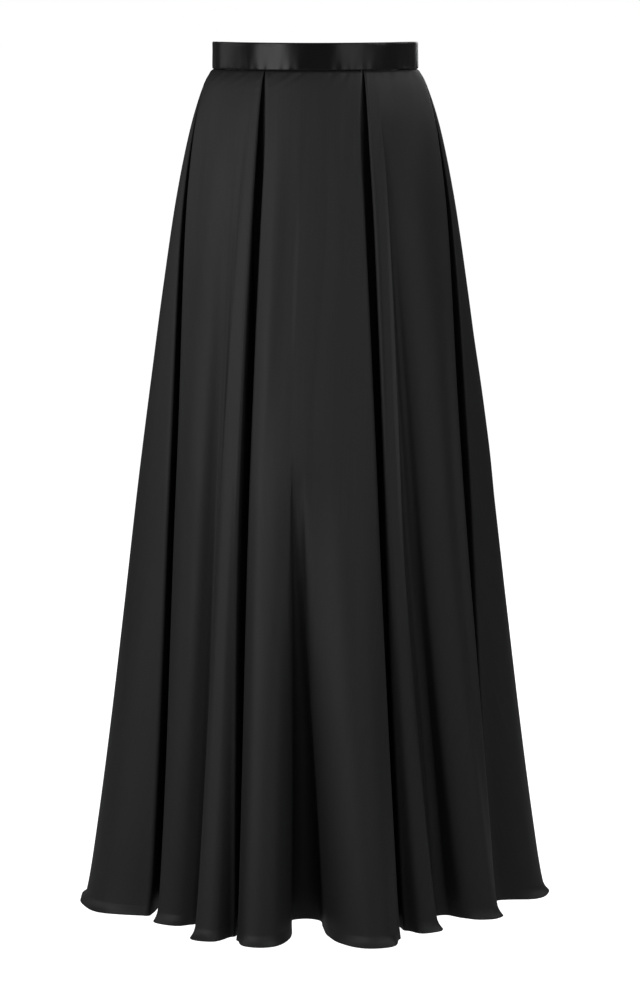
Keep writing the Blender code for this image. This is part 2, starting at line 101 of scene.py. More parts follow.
LOBES = (
    # name, hem insets in mm of its first edge, crest and second edge, and how flat each half is
    ("centre_left", 50, -4, 20, 1.7, 4.0),
    ("left_inner", 50, 35, 60, 3.0, 3.5),
    ("left_outer", 60, 33, 40, 1.4, 4.0),
    ("side_left", 57, -3, 40, 2.6, 2.6),
    ("back_left", 40, 2, 25, 2.6, 2.6),
    ("back_centre_left", 28, -2, 45, 2.6, 2.6),
    ("back_centre_right", 42, -4, 30, 2.6, 2.6),
    ("back_right", 24, 0, 45, 2.6, 2.6),
    ("side_right", 40, -1, 45, 2.6, 2.6),
    ("right_outer", 52, 41, 58, 4.0, 1.8),
    ("right_inner", 25, 6, 30, 3.0, 3.5),
    ("centre_right", 16, -1, 45, 3.5, 2.6),
)

GAPS = (
    # kind of the gap after each lobe, degrees at the hem of its floor's two ends, its floor's
    # inset there in mm, the share of the drop where it starts, the panel that starts in it, and
    # how late the lobes' edges before and after it sink
    ("pleat", 26.0, 31.0, 108, 0.00, "", 2.8, 1.9),
    ("valley", 45.5, 53.0, 90, 0.05, "", 2.4, 1.0),
    ("pleat", 72.0, 88.0, 92, 0.00, "skirt_back_left", 2.6, 1.5),
    ("valley", 109.5, 115.5, 80, 0.12, "", 1.3, 1.3),
    ("pleat", 137.0, 142.0, 105, 0.00, "", 1.5, 1.5),
    ("valley", 174.0, 186.0, 100, 0.38, "skirt_back_right", 1.3, 1.3),
    ("pleat", 217.0, 222.0, 108, 0.00, "", 1.5, 1.5),
    ("valley", 246.0, 251.5, 82, 0.15, "", 1.3, 1.3),
    ("pleat", 272.0, 292.0, 118, 0.00, "skirt_front", 1.5, 1.7),
    ("valley", 321.0, 325.5, 70, 0.05, "", 1.1, 2.2),
    ("pleat", 336.0, 341.0, 113, 0.00, "", 3.0, 2.0),
    ("valley", 350.0, 362.0, 124, 0.45, "", 1.3, 1.0),
)

VALLEYS = {
    # lobe before it: shares across it, above the hem, of its floor's two ends, and how far its
    # two walls lean, from 0 upright to 1 lying on the floor
    "left_inner": (0.14, 0.42, 0.15, 0.50),
    "side_left": (0.36, 0.64, 0.50, 0.50),
    "back_centre_left": (0.36, 0.64, 0.50, 0.50),
    "back_right": (0.36, 0.64, 0.50, 0.50),
    "right_outer": (0.45, 0.80, 0.50, 0.15),
    "centre_right": (0.15, 0.58, 0.50, 0.50),
}

LOBE_SHARES = (0.0, 0.22, 0.5, 0.78, 1.0)
WALL_SHARE = 0.80
PLEAT_SEAM_KNOT = 5
VALLEY_SEAM_KNOT = 2

# How finely the shells are cut, in steps after each knot
LOBE_STEPS = 7
LOBE_END_STEPS = 3
PLEAT_STEPS = 3
VALLEY_STEPS = 5
ROW_SPANS = (
    # first drop, last drop and spacing of the rows of points
    (0.0000, 0.0040, 0.0010),
    (0.0040, 0.0300, 0.0030),
    (0.0300, 0.2000, 0.0085),
    (0.2000, 0.9000, 0.0140),
    (0.9000, 0.9850, 0.0075),
    (0.9850, 1.0010, 0.0022),
    (1.0010, 1.0048, 0.0006),
    (1.0048, 1.0136, 0.0020),
)
EDGE_ROWS = (0.0010, 0.0006, 0.0003, 0.0001, 0.0)

# Cloth
SHELL_THICKNESS = 0.0007
HEM_THICKNESS = 0.0014
HEM_TURN = 0.0120
HEM_EASE = 0.0014
HEM_DENT = 0.00007
HEM_DENT_HALF = 0.0009
HEM_ROUNDNESS = 0.98
HEM_FLICK = 0.0062
HEM_FLICK_RISE = 0.0150
HEM_FLICK_EDGE = 0.30
HEM_FLICK_LEAST = 0.12
HEM_FLICK_WAVES = (
    # wavelength, share of the flick, and phase in radians
    (0.083, 0.25, 0.7),
    (0.047, 0.15, 0.0),
)
WAIST_GAP = 0.0003
WAIST_TUCK = 0.0013
WAIST_TUCK_DROP = 0.0032
SEAM_HALF = 0.00012
SEAM_ROLL = ((0.0, 0.0009), (0.0004, 0.0005), (0.0009, 0.0002), (0.0015, 0.00005), (0.0024, 0.0))
SEAM_REACH = 6
SEAM_EDGE_SHARE = 0.6
ZIP_SLIT_TAPER = 0.0300
ZIP_SLIT_LOW = 0.0004

CREASES = (
    # lobe, its share across at the top and at the bottom, drop at the top and at the bottom,
    # half-width in mm, and height in mm: below 0 for a trough
    ("centre_right", 0.36, 0.33, 0.030, 0.470, 11.0, 1.9),
    ("centre_right", 0.80, 0.84, 0.120, 0.360, 21.0, -0.8),
    ("centre_left", 0.70, 0.72, 0.022, 0.170, 7.0, -1.9),
    ("centre_left", 0.50, 0.46, 0.040, 0.300, 12.0, 1.2),
    ("centre_left", 0.30, 0.26, 0.380, 0.760, 16.0, -1.4),
    ("left_outer", 0.34, 0.40, 0.040, 0.330, 15.0, 1.7),
    ("left_outer", 0.70, 0.74, 0.030, 0.260, 12.0, -1.5),
    ("left_outer", 0.55, 0.52, 0.420, 0.880, 10.0, -1.5),
    ("right_outer", 0.62, 0.56, 0.040, 0.300, 14.0, 1.7),
    ("right_outer", 0.30, 0.34, 0.020, 0.240, 12.0, -1.4),
    ("right_outer", 0.45, 0.52, 0.380, 0.860, 10.0, -1.5),
    ("side_right", 0.64, 0.67, 0.420, 0.760, 3.6, 1.5),
    ("side_right", 0.73, 0.74, 0.500, 0.840, 3.2, 1.2),
    ("side_right", 0.40, 0.34, 0.080, 0.520, 10.0, -1.9),
    ("side_left", 0.42, 0.36, 0.300, 0.540, 3.6, 1.5),
    ("side_left", 0.30, 0.28, 0.360, 0.700, 3.4, 1.2),
    ("side_left", 0.62, 0.66, 0.100, 0.480, 11.0, -1.7),
    ("back_left", 0.40, 0.46, 0.040, 0.420, 12.0, 1.7),
    ("back_left", 0.68, 0.60, 0.300, 0.820, 9.0, -1.7),
    ("back_centre_left", 0.34, 0.30, 0.030, 0.300, 10.0, -1.7),
    ("back_centre_left", 0.60, 0.66, 0.120, 0.560, 13.0, 1.7),
    ("back_centre_right", 0.40, 0.34, 0.060, 0.480, 12.0, 1.7),
    ("back_centre_right", 0.72, 0.70, 0.040, 0.260, 8.0, -1.7),
    ("back_right", 0.52, 0.46, 0.040, 0.380, 13.0, -1.7),
    ("back_right", 0.34, 0.38, 0.400, 0.860, 9.0, 1.5),
)
CREASE_FADE = 0.38
CREASE_EDGE = 0.12

RIPPLES = (
    # wavelength across and down in mm, height in mm, and phase in turns
    (83.0, 2600.0, 0.34, 0.10),
    (51.0, -1900.0, 0.16, 0.55),
    (31.0, 1500.0, 0.05, 0.30),
)
RIPPLE_START = 0.10
RIPPLE_EDGE = 0.10
GAP_RIPPLE = 0.08
WAIST_PUCKERS = (
    # wavelength in mm, height in mm, and phase in turns
    (21.0, 0.34, 0.15),
    (13.5, 0.26, 0.60),
    (8.6, 0.14, 0.35),
)
PUCKER_DROP = 0.0150
PUCKER_START = 0.003
PUCKER_SLANT = 0.6
LOBE_SHIFT = 0.0370

# Waistband
BAND_ROWS_MM = (0, 0.12, 0.4, 0.85, 1.5, 2.4, 3.8, 6, 9, 12.5, 16, 20, 24, 27, 29, 30.2, 31, 31.5, 31.85, 32)
BAND_COLUMNS = 260
BAND_WAVES = (
    # wavelength across in mm, shift in mm over the band's height, height in mm, phase in turns
    (96.0, 10.0, 0.42, 0.05),
    (57.0, -8.0, 0.24, 0.40),
    (31.0, 14.0, 0.10, 0.75),
)
BAND_PUCKER_HEIGHT = 0.00022
BAND_PUCKER_RISE = 0.0050
BAND_PUCKER_LENGTH = 0.0125
BAND_SETTLE = 0.004
BAND_EDGE_WAVES = 0.35
BAND_END_ROLL = 0.0010
BAND_END_REACH = 0.0009
BAND_FOLD_ROUND = 0.7
BAND_SEAM_ROUND = 0.4
BAND_ROUNDNESS = 0.985

# Zip
COIL_PITCH = 0.0009
COIL_RADIUS = 0.00062
COIL_WIRE = 0.00022
COIL_STEPS = 8
COIL_OFFSET = 0.00055
COIL_FLATNESS = 1.5
COIL_END = 0.004
TAPE_THICKNESS = 0.0010
ZIP_SHELF = 0.0003
SLIDER_Z = 0.0060
SLIDER_HEIGHT = 0.0090

# Camera, floor and light
CAMERA_PLACE = (0.00576, -3.8, 0.03)
CAMERA_PITCH = 8.476
CAMERA_LENS = 113.67
CAMERA_SENSOR = 36.0
FAR_AWAY = 1000.0
FLOOR_Z = -1.16
FLOOR_SIZE = 400.0
FLOOR_GREY = (0.56, 0.56, 0.56, 1.0)
WHITE = (1.0, 1.0, 1.0, 1.0)
WORLD_LIGHT = 0.08
WORLD_SEEN = 1.0
LIGHTS = (
    # name, place, target, size and power in watts
    ("key", (-1.95, -2.4, 0.2), (0.0, 0.0, -0.6), (1.2, 2.2), 34.0),
    ("fill", (1.85, -2.75, 0.2), (0.0, 0.0, -0.6), (1.2, 2.0), 12.5),
    ("side_right", (2.5, -1.35, 1.5), (0.0, 0.0, -0.8), (1.4, 0.8), 20.0),
    ("rear_left", (-2.8, 0.2, 0.5), (0.0, 0.0, -0.6), (2.6, 1.6), 13.0),
    ("rear_right", (2.6, 1.1, 1.3), (0.0, 0.0, -0.6), (1.6, 1.2), 13.0),
    ("top", (0.0, -0.5, 2.3), (0.0, 0.0, -0.3), (2.0, 1.4), 4.0),
    ("back", (0.6, 2.9, 1.0), (0.0, 0.0, -0.55), (2.0, 2.2), 30.0),
)

BAND_BOTTOM = -BAND_HEIGHT / 2
SKIRT_DROP = SECTIONS[-1][0]
MM = 0.001
LEAST_KNOT_STEP = 1e-4


def column(table, index):
    return np.array([row[index] for row in table], float)


def smooth_through(places, values, at):
    """Monotone cubic through a table's values, at each of several places."""
    places, values = np.asarray(places, float), np.asarray(values, float)
    steps = np.diff(places)
    slopes = np.diff(values) / steps
    tangents = np.concatenate([slopes[:1], np.zeros(len(places) - 2), slopes[-1:]])
    for i in range(1, len(places) - 1):
        if slopes[i - 1] * slopes[i] > 0:
            before = 2 * steps[i] + steps[i - 1]
            after = steps[i] + 2 * steps[i - 1]
            tangents[i] = (before + after) / (before / slopes[i - 1] + after / slopes[i])
    at = np.clip(at, places[0], places[-1])
    i = np.minimum(np.searchsorted(places, at, side="right") - 1, len(steps) - 1)
    u = (at - places[i]) / steps[i]
    return (
        (1 + 2 * u) * (1 - u) ** 2 * values[i]
        + u * (1 - u) ** 2 * steps[i] * tangents[i]
        + u * u * (3 - 2 * u) * values[i + 1]
        + u * u * (u - 1) * steps[i] * tangents[i + 1]
    )


def smoothstep(x):
    x = np.clip(x, 0.0, 1.0)
    return x * x * (3 - 2 * x)


class Rows:
    """The drops of a grid's rows, and the sizes of the skirt at each."""

    def __init__(self, drops):
        self.drop = drops
        self.share = drops / SKIRT_DROP
        places = column(SECTIONS, 0)
        self.half_width, self.front, self.back = (
            smooth_through(places, column(SECTIONS, i), drops) for i in (1, 2, 3)
        )
        waist, hem = SECTIONS[0][1], SECTIONS[-1][1]
        self.turn = 1 - (hem / self.half_width - 1) / (hem / waist - 1)
        self.roll = PLY_STEP / 2 + (LOWER_ROLL - PLY_STEP / 2) * self.share

    def point(self, degrees, inset, along=0.0):
        """Plan points at an angle and inset of the outline, then moved along it."""
        angle = np.radians(np.broadcast_to(degrees, self.drop.shape))
        depth = np.where(np.cos(angle) > 0, self.front, self.back)
        angle = angle + along / np.hypot(
            (self.half_width - inset) * np.cos(angle), (depth - inset) * np.sin(angle)
        )
        depth = np.where(np.cos(angle) > 0, self.front, self.back)
        return np.stack(
            [(self.half_width - inset) * np.sin(angle), (inset - depth) * np.cos(angle)], axis=1
        )


def gap_growth(gap, share, power):
    return (np.maximum(0.0, share - gap[4]) / (1 - gap[4])) ** power


def edge_inset(gap, share, hem_inset, side):
    return hem_inset * MM * gap_growth(gap, share, gap[6 + side])


def lobe_at(index, rows):
    """Angles of a lobe's two edges, and insets of its first edge, crest and second edge."""
    edges = EDGES[index % len(EDGES)]
    _, first_in, crest_in, second_in, _, _ = LOBES[index % len(LOBES)]
    wrap = 360.0 * (index // len(LOBES))
    return (
        wrap + smooth_through(STATIONS, edges[1:5], rows.turn),
        wrap + smooth_through(STATIONS, edges[5:9], rows.turn),
        edge_inset(GAPS[(index - 1) % len(GAPS)], rows.share, first_in, 1),
        crest_in * MM * rows.share**CREST_POWER,
        edge_inset(GAPS[index % len(GAPS)], rows.share, second_in, 0),
    )


def lobe_knots(index, rows):
    first, second, first_in, crest_in, second_in = lobe_at(index, rows)
    pulls = [
        rows.roll + SLIT_HALF if GAPS[i % len(GAPS)][0] == "pleat" else 0.0
        for i in (index - 1, index)
    ]
    flatness = LOBES[index][4:6]
    knots = []
    for share in LOBE_SHARES:
        edge_in, power = (first_in, flatness[0]) if share < 0.5 else (second_in, flatness[1])
        inset = crest_in + (edge_in - crest_in) * abs(2 * share - 1) ** power
        along = pulls[0] * (1 - share) - pulls[1] * share
        knots.append(rows.point(first + (second - first) * share, inset, along))
    return knots


def pleat_knots(index, rows):
    """Inverted pleat after a lobe: wall, floor with a seam at its middle, and wall."""
    _, hem_from, hem_to, floor_mm = GAPS[index][:4]
    roll = rows.roll
    curl = roll * np.maximum(0.0, 1 - rows.share / CURL_SHARE)
    _, second, _, _, second_in = lobe_at(index, rows)
    first, _, first_in, _, _ = lobe_at(index + 1, rows)
    waist = EDGES[index][5]
    half_width = SECTIONS[0][1]
    depth = SECTIONS[0][2] if math.cos(math.radians(waist)) > 0 else SECTIONS[0][3]
    pace = math.hypot(
        half_width * math.cos(math.radians(waist)), depth * math.sin(math.radians(waist))
    )
    under = math.degrees(UNDERLAY / pace)
    floor_from = waist - under + (hem_from - waist + under) * rows.turn
    floor_to = waist + under + (hem_to - waist - under) * rows.turn
    floor = 2 * PLY_STEP + (floor_mm * MM - 2 * PLY_STEP) * rows.share**PLEAT_FLOOR_POWER
    lip = floor - 2 * roll
    top, next_top = second_in + 2 * roll, first_in + 2 * roll
    wall = second + (floor_from - second) * WALL_SHARE
    next_wall = first + (floor_to - first) * WALL_SHARE
    return [
        rows.point(second, second_in + roll, -SLIT_HALF),
        rows.point(second, top, -curl - SLIT_HALF),
        rows.point(wall, top + (lip - top) * WALL_SHARE),
        rows.point(floor_from, floor - roll, -roll / 2),
        rows.point(floor_from, floor, roll),
        rows.point((floor_from + floor_to) / 2, floor),
        rows.point(floor_to, floor, -roll),
        rows.point(floor_to, floor - roll, roll / 2),
        rows.point(next_wall, next_top + (lip - next_top) * WALL_SHARE),
        rows.point(first, next_top, curl + SLIT_HALF),
        rows.point(first, first_in + roll, SLIT_HALF),
    ]


def valley_knots(index, rows):
    """Soft valley after a lobe, which isn't there above its start."""
    gap = GAPS[index]
    share_from, share_to, lean_from, lean_to = VALLEYS[LOBES[index][0]]
    growth = gap_growth(gap, rows.share, 1.0)
    floor = gap[3] * MM * growth**VALLEY_FLOOR_POWER
    _, second, _, _, second_in = lobe_at(index, rows)
    first, _, first_in, _, _ = lobe_at(index + 1, rows)
    floor_from, floor_to = (second + (first - second) * u for u in (share_from, share_to))
    placed = growth**VALLEY_PLACE_POWER
    floor_from = floor_from + (gap[1] - floor_from) * placed
    floor_to = floor_to + (gap[2] - floor_to) * placed
    return [
        rows.point(second + (floor_from - second) * lean_from, (second_in + floor) / 2),
        rows.point(floor_from, floor * VALLEY_FLOOR_ENDS),
        rows.point((floor_from + floor_to) / 2, floor),
        rows.point(floor_to, floor * VALLEY_FLOOR_ENDS),
        rows.point(first + (floor_to - first) * lean_to, (first_in + floor) / 2),
    ]


def ring_layout():
    """Steps after each knot, the knot where each panel starts, and the knot where each lobe does."""
    steps = []
    starts = {}
    lobe_starts = {}
    for lobe, gap in zip(LOBES, GAPS):
        lobe_starts[lobe[0]] = len(steps)
        steps += [LOBE_STEPS] * (len(LOBE_SHARES) - 1) + [LOBE_END_STEPS]
        middle, fine = (
            (PLEAT_SEAM_KNOT, PLEAT_STEPS) if gap[0] == "pleat" else (VALLEY_SEAM_KNOT, VALLEY_STEPS)
        )
        if gap[5]:
            starts[gap[5]] = len(steps) + middle
        steps += [fine] * (2 * middle + 1)
    return steps, starts, lobe_starts


def rings_at(rows, steps):
    """Closed smooth curves through the knots of each row, and the column where each knot is."""
    knots = []
    for index, gap in enumerate(GAPS):
        knots += lobe_knots(index, rows)
        knots += (pleat_knots if gap[0] == "pleat" else valley_knots)(index, rows)
    knots = np.stack(knots, axis=1)
    p0, p1, p2, p3 = (np.roll(knots, -j, axis=1) for j in (-1, 0, 1, 2))
    d1, d2, d3 = (
        np.maximum(np.sqrt(np.linalg.norm(b - a, axis=2)), LEAST_KNOT_STEP)[..., None]
        for a, b in ((p0, p1), (p1, p2), (p2, p3))
    )
    m1 = ((p1 - p0) / d1 - (p2 - p0) / (d1 + d2) + (p2 - p1) / d2) * d2
    m2 = ((p2 - p1) / d2 - (p3 - p1) / (d2 + d3) + (p3 - p2) / d3) * d2
    points = []
    places = []
    for i, count in enumerate(steps):
        places.append(len(points))
        for j in range(count):
            u = j / count
            points.append(
                (1 + 2 * u) * (1 - u) ** 2 * p1[:, i]
                + u * (1 - u) ** 2 * m1[:, i]
                + u * u * (3 - 2 * u) * p2[:, i]
                + u * u * (u - 1) * m2[:, i]
            )
    return np.stack(points, axis=1), places


def dip_at(x, y, half_width, depth):
    """How far the waist line dips at centre front and back, below its height at the sides."""
    angle = np.arctan2(x / half_width, -y / depth)
    return np.where(np.cos(angle) > 0, FRONT_DIP, BACK_DIP) * np.cos(angle) ** 2


def row_drops():
    drops = [
        first + (last - first) * i / count
        for first, last, spacing in ROW_SPANS
        for count in [max(1, round((last - first) / spacing))]
        for i in range(count)
    ]
    return np.array(drops + [SKIRT_DROP - rise for rise in EDGE_ROWS])


def along_rows(points):
    """Distance along each row of a grid from its first point."""
    steps = np.linalg.norm(np.diff(points, axis=1), axis=2)
    return np.concatenate([np.zeros((len(points), 1)), np.cumsum(steps, axis=1)], axis=1)


def grid_normals(points):
    """Unit normals of a grid whose rows go down and whose columns go round: out of the skirt."""
    down = np.gradient(points, axis=0)
    across = np.gradient(points, axis=1)
    normals = np.cross(down, across)
    return normals / np.maximum(np.linalg.norm(normals, axis=2), 1e-12)[..., None]


def lobe_shares(steps, places, lobe_starts, total):
    """Each column's lobe and its share across that lobe, or none in a gap."""
    owners = np.full(total, -1)
    shares = np.zeros(total)
    for number, lobe in enumerate(LOBES):
        start = lobe_starts[lobe[0]]
        for k in range(len(LOBE_SHARES) - 1):
            first = places[start + k]
            for j in range(LOBE_STEPS):
                owners[first + j] = number
                width = LOBE_SHARES[k + 1] - LOBE_SHARES[k]
                shares[first + j] = LOBE_SHARES[k] + width * j / LOBE_STEPS
    return owners, shares


def crease_heights(rows, owners, shares, along):
    """How far the creases lift each point of the whole ring's grid."""
    heights = np.zeros(along.shape)
    names = [lobe[0] for lobe in LOBES]
    for lobe, share_top, share_low, top, low, half_width, height in CREASES:
        members = np.flatnonzero(owners == names.index(lobe))
        run = np.clip((rows.drop - top) / (low - top), 0.0, 1.0)
        wanted = share_top + (share_low - share_top) * run
        fade = smoothstep(run / CREASE_FADE) * smoothstep((1 - run) / CREASE_FADE)
        for r in np.flatnonzero(fade > 0):
            places = along[r, members]
            centre = np.interp(wanted[r], shares[members], places)
            bell = np.exp(-(((places - centre) / (half_width * MM)) ** 2))
            edge = smoothstep(shares[members] / CREASE_EDGE)
            edge = edge * smoothstep((1 - shares[members]) / CREASE_EDGE)
            heights[r, members] += height * MM * fade[r] * bell * edge
    return heights


def from_crests(owners, shares, along):
    """Distance across from the crest of each point's lobe, plus a shift that differs by lobe."""
    local = along.copy()
    for number in range(len(LOBES)):
        members = np.flatnonzero(owners == number)
        crest = members[np.argmin(np.abs(shares[members] - 0.5))]
        local[:, members] = along[:, members] - along[:, [crest]] + number * LOBE_SHIFT
    return local


def ripple_heights(rows, owners, shares, along):
    """Slight unevenness on the lobes, and puckers that fade below the waist seam."""
    drop = rows.drop[:, None]
    local = from_crests(owners, shares, along)
    heights = sum(
        height * MM * np.sin(2 * np.pi * (local / (across * MM) + drop / (down * MM) + phase))
        for across, down, height, phase in RIPPLES
    )
    heights = heights * smoothstep(drop / RIPPLE_START)
    slant = PUCKER_SLANT * drop / PUCKER_DROP
    puckers = sum(
        height * MM * np.sin(2 * np.pi * (along / (length * MM) + phase + slant))
        for length, height, phase in WAIST_PUCKERS
    )
    return heights + puckers * np.exp(-drop / PUCKER_DROP) * smoothstep(drop / PUCKER_START)


def lobe_window(owners, shares):
    """1 on the lobes, fading to a small share at their edges and in the gaps."""
    window = smoothstep(shares / RIPPLE_EDGE) * smoothstep((1 - shares) / RIPPLE_EDGE)
    return np.where(owners >= 0, GAP_RIPPLE + (1 - GAP_RIPPLE) * window, GAP_RIPPLE)


def hem_flick(rows, owners, shares, along):
    """How far the hem turns out: most on the lobes' crests."""
    rise = np.clip((rows.drop - SKIRT_DROP + HEM_FLICK_RISE) / HEM_FLICK_RISE, 0.0, 1.0) ** 2
    window = smoothstep(shares / HEM_FLICK_EDGE) * smoothstep((1 - shares) / HEM_FLICK_EDGE)
    crest = np.where(owners >= 0, HEM_FLICK_LEAST + (1 - HEM_FLICK_LEAST) * window, HEM_FLICK_LEAST)
    uneven = 1 + sum(
        share * np.sin(2 * np.pi * along[-1] / length + phase)
        for length, share, phase in HEM_FLICK_WAVES
    )
    return HEM_FLICK * rise[:, None] * (crest * uneven)[None, :]


def whole_skirt():
    """Middle surface of the three panels as one closed grid, and where the panels start."""
    rows = Rows(row_drops())
    steps, starts, lobe_starts = ring_layout()
    rings, places = rings_at(rows, steps)
    x, y = rings[..., 0], rings[..., 1]
    depth = np.where(y < 0, rows.front[:, None], rows.back[:, None])
    dip = dip_at(x, y, rows.half_width[:, None], depth)
    fade = np.maximum(0.0, 1 - rows.drop / DIP_FADE)[:, None]
    z = BAND_BOTTOM - np.maximum(rows.drop, WAIST_GAP)[:, None] - fade * dip
    closed = np.concatenate([np.dstack([x, y, z])] * 3, axis=1)
    count = rings.shape[1]
    normals = grid_normals(closed)[:, count : 2 * count]
    points = closed[:, :count]
    along = along_rows(points)
    owners, shares = lobe_shares(steps, places, lobe_starts, count)
    lift = crease_heights(rows, owners, shares, along)
    lift += ripple_heights(rows, owners, shares, along) * lobe_window(owners, shares)[None, :]
    lift += hem_flick(rows, owners, shares, along)
    out = np.dstack([x, y, np.zeros_like(x)])
    out /= np.linalg.norm(out, axis=2)[..., None]
    tuck = WAIST_TUCK * smoothstep(1 - rows.drop / WAIST_TUCK_DROP)[:, None, None]
    points = points + normals * lift[..., None] - out * tuck
    return rows, points, {name: places[knot] for name, knot in starts.items()}


def seam_half(panel, rows):
    """Half of the gap at the seam where a panel starts: wider beside the zip's slider."""
    if panel != "skirt_back_right":
        return np.full(len(rows.drop), SEAM_HALF)
    low = ZIP_SLIT_HALF + (ZIP_SLIT_LOW - ZIP_SLIT_HALF) * smoothstep(rows.drop / ZIP_SLIT_TAPER)
    below = smoothstep((rows.drop - ZIP_LENGTH + BAND_HEIGHT) / ZIP_SLIT_TAPER)
    return low + (SEAM_HALF - low) * below


def with_seam_edge(points, half_gap):
    """The grid's first columns spaced anew from the seam, and how far each turns in there."""
    near = points[:, : SEAM_REACH + 1]
    along = along_rows(near)
    offsets = np.array([offset for offset, _ in SEAM_ROLL])
    turned = np.array([depth for _, depth in SEAM_ROLL] + [0.0] * (points.shape[1] - SEAM_REACH))
    edge = np.empty((len(points), len(offsets), 3))
    for r in range(len(points)):
        wanted = half_gap[r] + offsets * min(1.0, along[r, -1] * SEAM_EDGE_SHARE / offsets[-1])
        for axis in range(3):
            edge[r, :, axis] = np.interp(wanted, along[r], near[r, :, axis])
    return np.concatenate([edge, points[:, SEAM_REACH:]], axis=1), turned


def panel_grid(name, rows, points, starts):
    """The panel's own part of the whole skirt, with its two seam edges turned in."""
    names = list(starts)
    following = names[(names.index(name) + 1) % len(names)]
    begin, end = starts[name], starts[following]
    total = points.shape[1]
    if end < begin:
        end += total
    grid = points[:, np.arange(begin, end + 1) % total]
    grid, turned_first = with_seam_edge(grid, seam_half(name, rows))
    grid, turned_last = with_seam_edge(grid[:, ::-1], seam_half(following, rows))
    grid = grid[:, ::-1]
    turned = turned_last[::-1].copy()
    turned[: len(SEAM_ROLL)] += turned_first[: len(SEAM_ROLL)]
    return grid - grid_normals(grid) * turned[None, :, None]


def skirt_thickness(rows):
    """Wall thickness at each row: thicker where the hem is turned up, and round at its fold."""
    to_hem = SKIRT_DROP - rows.drop
    turned = smoothstep((HEM_TURN + HEM_EASE / 2 - to_hem) / HEM_EASE)
    wall = SHELL_THICKNESS + (HEM_THICKNESS - SHELL_THICKNESS) * turned
    radius = HEM_THICKNESS / 2
    inside = np.clip(1 - to_hem / radius, 0.0, HEM_ROUNDNESS)
    return wall * np.sqrt(1 - inside**2)


def hem_dent(rows):
    """A faint hollow in the outer side along the line where the hem is caught."""
    to_hem = SKIRT_DROP - rows.drop
    return HEM_DENT * np.exp(-(((to_hem - HEM_TURN) / HEM_DENT_HALF) ** 2))


def shell(name, middle, thickness, outer_share, materials, body="garment"):
    """Closed wall about a grid of points: its outer side, its inner side and its rims.
    UVs are the flat cloth's own metres, from the grid's middle column and top row."""
    count_r, count_c = middle.shape[:2]
    normals = grid_normals(middle)
    thickness = np.broadcast_to(np.asarray(thickness)[:, None, None], (count_r, count_c, 1))
    outer = middle + normals * thickness * outer_share
    inner = middle - normals * thickness * (1 - outer_share)
    index = np.arange(count_r * count_c).reshape(count_r, count_c)
    back = index + count_r * count_c

    def quads(a, b, c, d):
        return np.stack([a.ravel(), b.ravel(), c.ravel(), d.ravel()], axis=1)

    out_faces = quads(index[:-1, :-1], index[1:, :-1], index[1:, 1:], index[:-1, 1:])
    in_faces = quads(back[:-1, :-1], back[:-1, 1:], back[1:, 1:], back[1:, :-1])
    rims = [
        quads(index[0, :-1], index[0, 1:], back[0, 1:], back[0, :-1]),
        quads(index[-1, 1:], index[-1, :-1], back[-1, :-1], back[-1, 1:]),
        quads(index[1:, 0], index[:-1, 0], back[:-1, 0], back[1:, 0]),
        quads(index[:-1, -1], index[1:, -1], back[1:, -1], back[:-1, -1]),
    ]
    faces = np.concatenate([out_faces, in_faces, *rims])
    mesh = bpy.data.meshes.new(name)
    mesh.from_pydata(np.concatenate([outer.reshape(-1, 3), inner.reshape(-1, 3)]), [], faces.tolist())
    across = along_rows(middle)
    across = across - across[:, count_c // 2][:, None]
    down_steps = np.linalg.norm(np.diff(middle, axis=0), axis=2).mean(axis=1)
    down = -np.concatenate([[0.0], np.cumsum(down_steps)])
    flat = np.dstack([across, np.broadcast_to(down[:, None], across.shape)]).reshape(-1, 2)
    flat = np.concatenate([flat, flat])
    uvs = mesh.uv_layers.new(name="cloth")
    loops = np.empty(len(mesh.loops), np.int32)
    mesh.loops.foreach_get("vertex_index", loops)
    uvs.data.foreach_set("uv", flat[loops].astype(np.float32).ravel())
    mesh.polygons.foreach_set("use_smooth", [True] * len(faces))
    for material in materials:
        mesh.materials.append(material)
    sides = np.zeros(len(faces), np.int32)
    sides[len(out_faces) : len(out_faces) + len(in_faces)] = len(materials) - 1
    mesh.polygons.foreach_set("material_index", sides)
    piece = bpy.data.objects.new(name, mesh)
    bpy.context.scene.collection.objects.link(piece)
    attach(piece, body)
    return piece


# Materials
FLOATS_PER_METRE = 640.0
CONTRAST = (0.3, 0.7)


